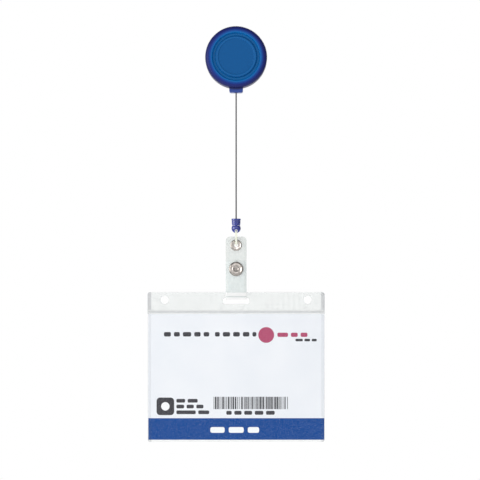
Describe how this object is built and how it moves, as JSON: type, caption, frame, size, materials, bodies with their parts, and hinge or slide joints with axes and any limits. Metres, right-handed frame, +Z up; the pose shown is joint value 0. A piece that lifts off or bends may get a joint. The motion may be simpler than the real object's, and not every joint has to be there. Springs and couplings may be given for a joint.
{
  "type": "retractable badge reel",
  "caption": "Round retractable badge reel: spring-wound cord, belt clip, swivel end, vinyl strap with press snap, and a clear wallet holding an insert card.",
  "frame": {"origin": "on the reel's axis, at the middle of the case's back face, where the belt clip is riveted on", "axes": "+Z up along the hanging cord, -Y out of the front (label) face, +X to the right as seen from the front"},
  "size_m": [0.092, 0.0134, 0.2154],
  "materials": {
    "case_plastic": "moulded translucent blue, gloss, slightly matte disc",
    "spool_plastic": "moulded white",
    "spring_steel": "bright spring strip and wire",
    "clip_steel": "nickel-plated, fine brushing",
    "cord": "braided nylon, dark grey",
    "fitting_plastic": "translucent deep blue, gloss",
    "link_plastic": "cream plastic",
    "strap_vinyl": "frosted clear vinyl",
    "nickel": "polished nickel plate",
    "wallet_vinyl": "clear soft vinyl",
    "card_stock": "coated card with a printed blue band"
  },
  "bodies": {
    "case": {"front_cover": "case_plastic", "rear_cover": "case_plastic", "power_spring": "spring_steel", "cord_lead_in": "cord", "belt_clip_base": "clip_steel", "clip_rivet": "clip_steel"},
    "spool": {"spool": "spool_plastic", "cord_winding": "cord", "cord_anchor_knot": "cord"},
    "clip_tongue": {"belt_clip_tongue": "clip_steel"},
    "cord_end": {"cord_free": "cord", "cord_end_knot": "cord", "cord_end_cap": "fitting_plastic"},
    "swivel": {"swivel_eye": "fitting_plastic"},
    "link": {"link_loop": "link_plastic"},
    "strap_front": {"strap_front_leg": "strap_vinyl", "eyelet_barrel": "nickel", "eyelet_washer": "nickel", "snap_cap": "nickel", "snap_socket": "nickel", "snap_spring_ring": "spring_steel"},
    "strap_back": {"strap_back_leg": "strap_vinyl", "snap_stud": "nickel", "snap_post": "nickel"},
    "wallet": {"wallet_back_sheet": "wallet_vinyl", "wallet_front_sheet": "wallet_vinyl"},
    "card": {"insert_card": "card_stock"}
  },
  "joints": [
    {"name": "cord_pull", "type": "slide", "parent": "case", "child": "cord_end", "axis": [0, 0, -1], "range_m": [-0.065, 0.795], "stiffness_N_per_m": 1, "springref_m": -0.10743, "deforming": ["cord_free"]},
    {"name": "spool_spin", "type": "hinge", "parent": "case", "child": "spool", "pos_m": [0, -0.004, 0], "axis": [0, 1, 0], "range_deg": [-370, 4512]},
    {"name": "clip_flex", "type": "hinge", "parent": "case", "child": "clip_tongue", "pos_m": [0, 0.0023, 0.0119], "axis": [1, 0, 0], "range_deg": [0, 12], "stiffness_Nm_per_rad": 0.05},
    {"name": "swivel_turn", "type": "hinge", "parent": "cord_end", "child": "swivel", "pos_m": [0, -0.004, -0.087], "axis": [0, 0, 1], "continuous": true},
    {"name": "link_swing", "type": "hinge", "parent": "swivel", "child": "link", "pos_m": [0, -0.004, -0.0898], "axis": [0, 1, 0], "range_deg": [-75, 75]},
    {"name": "strap_tilt", "type": "hinge", "parent": "link", "child": "strap_front", "pos_m": [0, -0.004, -0.09545], "axis": [1, 0, 0], "range_deg": [-20, 20]},
    {"name": "strap_open", "type": "hinge", "parent": "strap_front", "child": "strap_back", "pos_m": [0, -0.0026, -0.1251], "axis": [-1, 0, 0], "range_deg": [0, 100]},
    {"name": "wallet_tilt", "type": "hinge", "parent": "strap_front", "child": "wallet", "pos_m": [0, -0.0026, -0.1237], "axis": [1, 0, 0], "range_deg": [-18, 18]},
    {"name": "card_slide", "type": "slide", "parent": "wallet", "child": "card", "axis": [1, 0, 0], "range_m": [0, 0.0935]}
  ],
  "couplings": [
    {"joint": "spool_spin", "follows": "cord_pull", "rad_per_m": 99.01}
  ]
}
